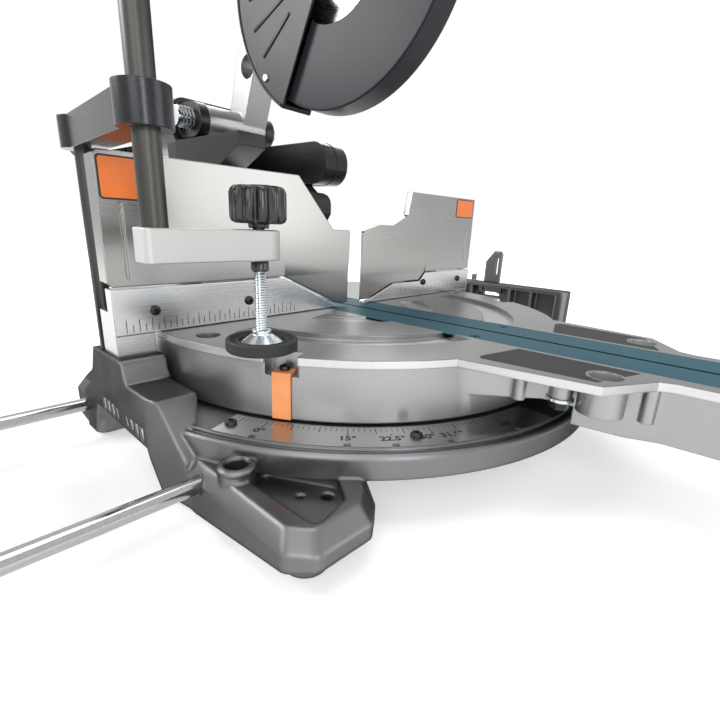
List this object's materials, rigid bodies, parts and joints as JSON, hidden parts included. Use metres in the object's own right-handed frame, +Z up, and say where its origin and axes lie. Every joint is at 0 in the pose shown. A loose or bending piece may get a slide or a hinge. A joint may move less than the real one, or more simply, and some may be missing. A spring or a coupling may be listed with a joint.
{
  "type": "cordless mitre saw",
  "caption": "Sliding compound mitre saw with a turntable and front arm, tall fences, hold-down clamp, pull-out side wings, tilting chop head and battery.",
  "frame": {"origin": "on the bench plane, on the turntable's axis, at the centre of the four bench bolt holes", "axes": "+Z up, +X to the right along the fence, -Y to the front where the user stands"},
  "size_m": [0.784, 1.1796, 0.7141],
  "materials": {
    "base_paint": "satin gunmetal paint on cast aluminium",
    "table_alu": "machined and cast aluminium",
    "fence_alu": "brushed aluminium",
    "scale_steel": "brushed scale plate with dark marks",
    "kerf_plastic": "teal plastic",
    "orange_plastic": "orange plastic",
    "black_plastic": "black textured plastic",
    "black_steel": "blackened steel",
    "panel_paint": "dark inset panel",
    "chrome_rod": "chromed bar",
    "zinc": "zinc-plated steel",
    "blade_steel": "ground steel",
    "guard_plastic": "smoked guard",
    "rubber": "black rubber",
    "bronze": "bronze bush",
    "copper_winding": "wound stator"
  },
  "bodies": {
    "base": {"base_casting": "base_paint", "rubber_feet": "rubber", "mitre_scales": "scale_steel", "base_screws": "black_steel", "left_lower_fence": "table_alu", "right_lower_fence": "table_alu", "pivot_bolt": "zinc"},
    "left_fence": {"left_upper_fence": "fence_alu"},
    "right_fence": {"right_upper_fence": "fence_alu"},
    "left_fence_lock": {"left_fence_knob": "black_plastic"},
    "right_fence_lock": {"right_fence_knob": "black_plastic"},
    "left_wing": {"left_wing_rods": "chrome_rod", "left_wing_end": "base_paint"},
    "left_stop": {"left_wing_stop": "base_paint"},
    "right_wing": {"right_wing_rods": "chrome_rod", "right_wing_end": "base_paint"},
    "right_stop": {"right_wing_stop": "base_paint"},
    "clamp_frame": {"clamp_rod": "black_steel", "clamp_top_arm": "black_steel"},
    "clamp_drop": {"clamp_post": "black_steel", "clamp_arm": "fence_alu"},
    "clamp_press": {"clamp_foot": "zinc", "clamp_pad": "rubber"},
    "clamp_spin": {"clamp_screw": "zinc", "clamp_knob": "black_plastic"},
    "table": {"turntable": "table_alu", "left_kerf_plate": "kerf_plastic", "right_kerf_plate": "kerf_plastic", "table_screws": "black_steel", "mitre_pointers": "orange_plastic", "arm_panels": "panel_paint"},
    "mitre_lock": {"mitre_lock_grip": "black_plastic"},
    "detent": {"detent_lever": "black_plastic"},
    "tilt": {"trunnion_arm": "base_paint", "bevel_bolt": "zinc", "slide_bushes": "bronze", "dust_duct": "black_plastic", "dust_nozzle": "rubber"},
    "bevel_lock": {"bevel_lock_lever": "black_plastic"},
    "slide_lock": {"slide_lock_knob": "black_plastic"},
    "slider": {"slide_rails": "chrome_rod", "rail_end_plate": "black_steel", "carriage": "base_paint", "hinge_pin": "zinc", "return_spring": "zinc"},
    "head": {"head_casting": "table_alu", "blade_hood": "black_plastic", "motor_housing": "black_plastic", "motor_stator": "copper_winding", "drive_belt": "rubber", "handle_grip": "black_plastic"},
    "rotor": {"motor_rotor": "zinc"},
    "blade": {"spindle": "zinc", "blade_clamp": "zinc", "saw_blade": "blade_steel"},
    "guard": {"lower_guard": "guard_plastic"},
    "switch": {"trigger": "orange_plastic"},
    "lock_off": {"lock_off_button": "black_plastic"},
    "battery": {"battery_pack": "black_plastic"},
    "latch": {"battery_latch": "orange_plastic"}
  },
  "joints": [
    {"name": "mitre_turn", "type": "hinge", "parent": "base", "child": "table", "pos_m": [0, 0, 0.11], "axis": [0, 0, 1], "range_deg": [-55.2, 48.8]},
    {"name": "bevel_tilt", "type": "hinge", "parent": "table", "child": "tilt", "pos_m": [-0.01463, 0.26159, 0.11], "axis": [-0.0558, 0.9984, 0], "range_deg": [-45, 0]},
    {"name": "head_slide", "type": "slide", "parent": "tilt", "child": "slider", "axis": [0.0558, -0.9984, 0], "range_m": [0, 0.25]},
    {"name": "head_chop", "type": "hinge", "parent": "slider", "child": "head", "pos_m": [-0.01396, 0.24961, 0.325], "axis": [0.9984, 0.0558, 0], "range_deg": [0, 51.6], "stiffness_Nm_per_rad": 22, "springref_deg": -85.94},
    {"name": "blade_spin", "type": "hinge", "parent": "head", "child": "blade", "pos_m": [-0.00148, 0.02643, 0.45408], "axis": [0.9984, 0.0558, 0], "continuous": true},
    {"name": "rotor_spin", "type": "hinge", "parent": "head", "child": "rotor", "pos_m": [-0.0041, 0.07338, 0.49135], "axis": [0.9984, 0.0558, 0], "continuous": true},
    {"name": "guard_swing", "type": "hinge", "parent": "head", "child": "guard", "pos_m": [-0.00148, 0.02643, 0.45408], "axis": [-0.9984, -0.0558, 0], "range_deg": [0, 180.2]},
    {"name": "trigger_pull", "type": "hinge", "parent": "head", "child": "switch", "pos_m": [0.00413, -0.07393, 0.67427], "axis": [0.9984, 0.0558, 0], "range_deg": [0, 14], "stiffness_Nm_per_rad": 0.6, "springref_deg": -8.59},
    {"name": "lock_off_press", "type": "slide", "parent": "head", "child": "lock_off", "axis": [-0.9984, -0.0558, 0], "range_m": [0, 0.004], "stiffness_N_per_m": 300, "springref_m": -0.004},
    {"name": "battery_slide", "type": "slide", "parent": "head", "child": "battery", "axis": [0.9984, 0.0558, 0], "range_m": [0, 0.09]},
    {"name": "latch_press", "type": "slide", "parent": "battery", "child": "latch", "axis": [0.0437, -0.7825, -0.6211], "range_m": [0, 0.003], "stiffness_N_per_m": 400, "springref_m": -0.003},
    {"name": "bevel_lock_turn", "type": "hinge", "parent": "tilt", "child": "bevel_lock", "pos_m": [-0.01764, 0.31551, 0.11], "axis": [0.0558, -0.9984, 0], "range_deg": [0, 60]},
    {"name": "slide_lock_turn", "type": "hinge", "parent": "tilt", "child": "slide_lock", "pos_m": [0.08087, 0.34505, 0.325], "axis": [0.9984, 0.0558, 0], "range_deg": [0, 180]},
    {"name": "mitre_lock_turn", "type": "hinge", "parent": "table", "child": "mitre_lock", "pos_m": [0.02456, -0.43931, 0.083], "axis": [0.0558, -0.9984, 0], "range_deg": [0, 120]},
    {"name": "detent_press", "type": "hinge", "parent": "table", "child": "detent", "pos_m": [0.02286, -0.40886, 0.101], "axis": [0.9984, 0.0558, 0], "range_deg": [0, 12], "stiffness_Nm_per_rad": 1.2, "springref_deg": -6.88},
    {"name": "left_fence_slide", "type": "slide", "parent": "base", "child": "left_fence", "axis": [-1, 0, 0], "range_m": [0, 0.04]},
    {"name": "right_fence_slide", "type": "slide", "parent": "base", "child": "right_fence", "axis": [1, 0, 0], "range_m": [0, 0.04]},
    {"name": "left_fence_lock_turn", "type": "hinge", "parent": "left_fence", "child": "left_fence_lock", "pos_m": [-0.145, 0.035, 0.132], "axis": [0, 1, 0], "range_deg": [0, 180]},
    {"name": "right_fence_lock_turn", "type": "hinge", "parent": "right_fence", "child": "right_fence_lock", "pos_m": [0.145, 0.035, 0.132], "axis": [0, 1, 0], "range_deg": [0, 180]},
    {"name": "left_wing_slide", "type": "slide", "parent": "base", "child": "left_wing", "axis": [-1, 0, 0], "range_m": [-0.045, 0.06]},
    {"name": "right_wing_slide", "type": "slide", "parent": "base", "child": "right_wing", "axis": [1, 0, 0], "range_m": [-0.045, 0.06]},
    {"name": "left_stop_flip", "type": "hinge", "parent": "left_wing", "child": "left_stop", "pos_m": [-0.383, 0.0225, 0.098], "axis": [0, -1, 0], "range_deg": [0, 90]},
    {"name": "right_stop_flip", "type": "hinge", "parent": "right_wing", "child": "right_stop", "pos_m": [0.383, 0.0225, 0.098], "axis": [0, 1, 0], "range_deg": [0, 90]},
    {"name": "clamp_swing", "type": "hinge", "parent": "base", "child": "clamp_frame", "pos_m": [-0.254, 0.038, 0.2], "axis": [0, 0, -1], "range_deg": [0, 75]},
    {"name": "clamp_height", "type": "slide", "parent": "clamp_frame", "child": "clamp_drop", "axis": [0, 0, 1], "range_m": [0, 0.04]},
    {"name": "clamp_lift", "type": "slide", "parent": "clamp_drop", "child": "clamp_press", "axis": [0, 0, 1], "range_m": [0, 0.024]},
    {"name": "clamp_turn", "type": "hinge", "parent": "clamp_press", "child": "clamp_spin", "pos_m": [-0.1905, -0.094, 0.2], "axis": [0, 0, 1], "range_deg": [0, 2880.5]}
  ],
  "couplings": [
    {"joint": "rotor_spin", "follows": "blade_spin", "ratio": 1.125},
    {"joint": "guard_swing", "follows": "head_chop", "ratio": 3.4884},
    {"joint": "clamp_turn", "follows": "clamp_lift", "rad_per_m": 2094.4}
  ]
}
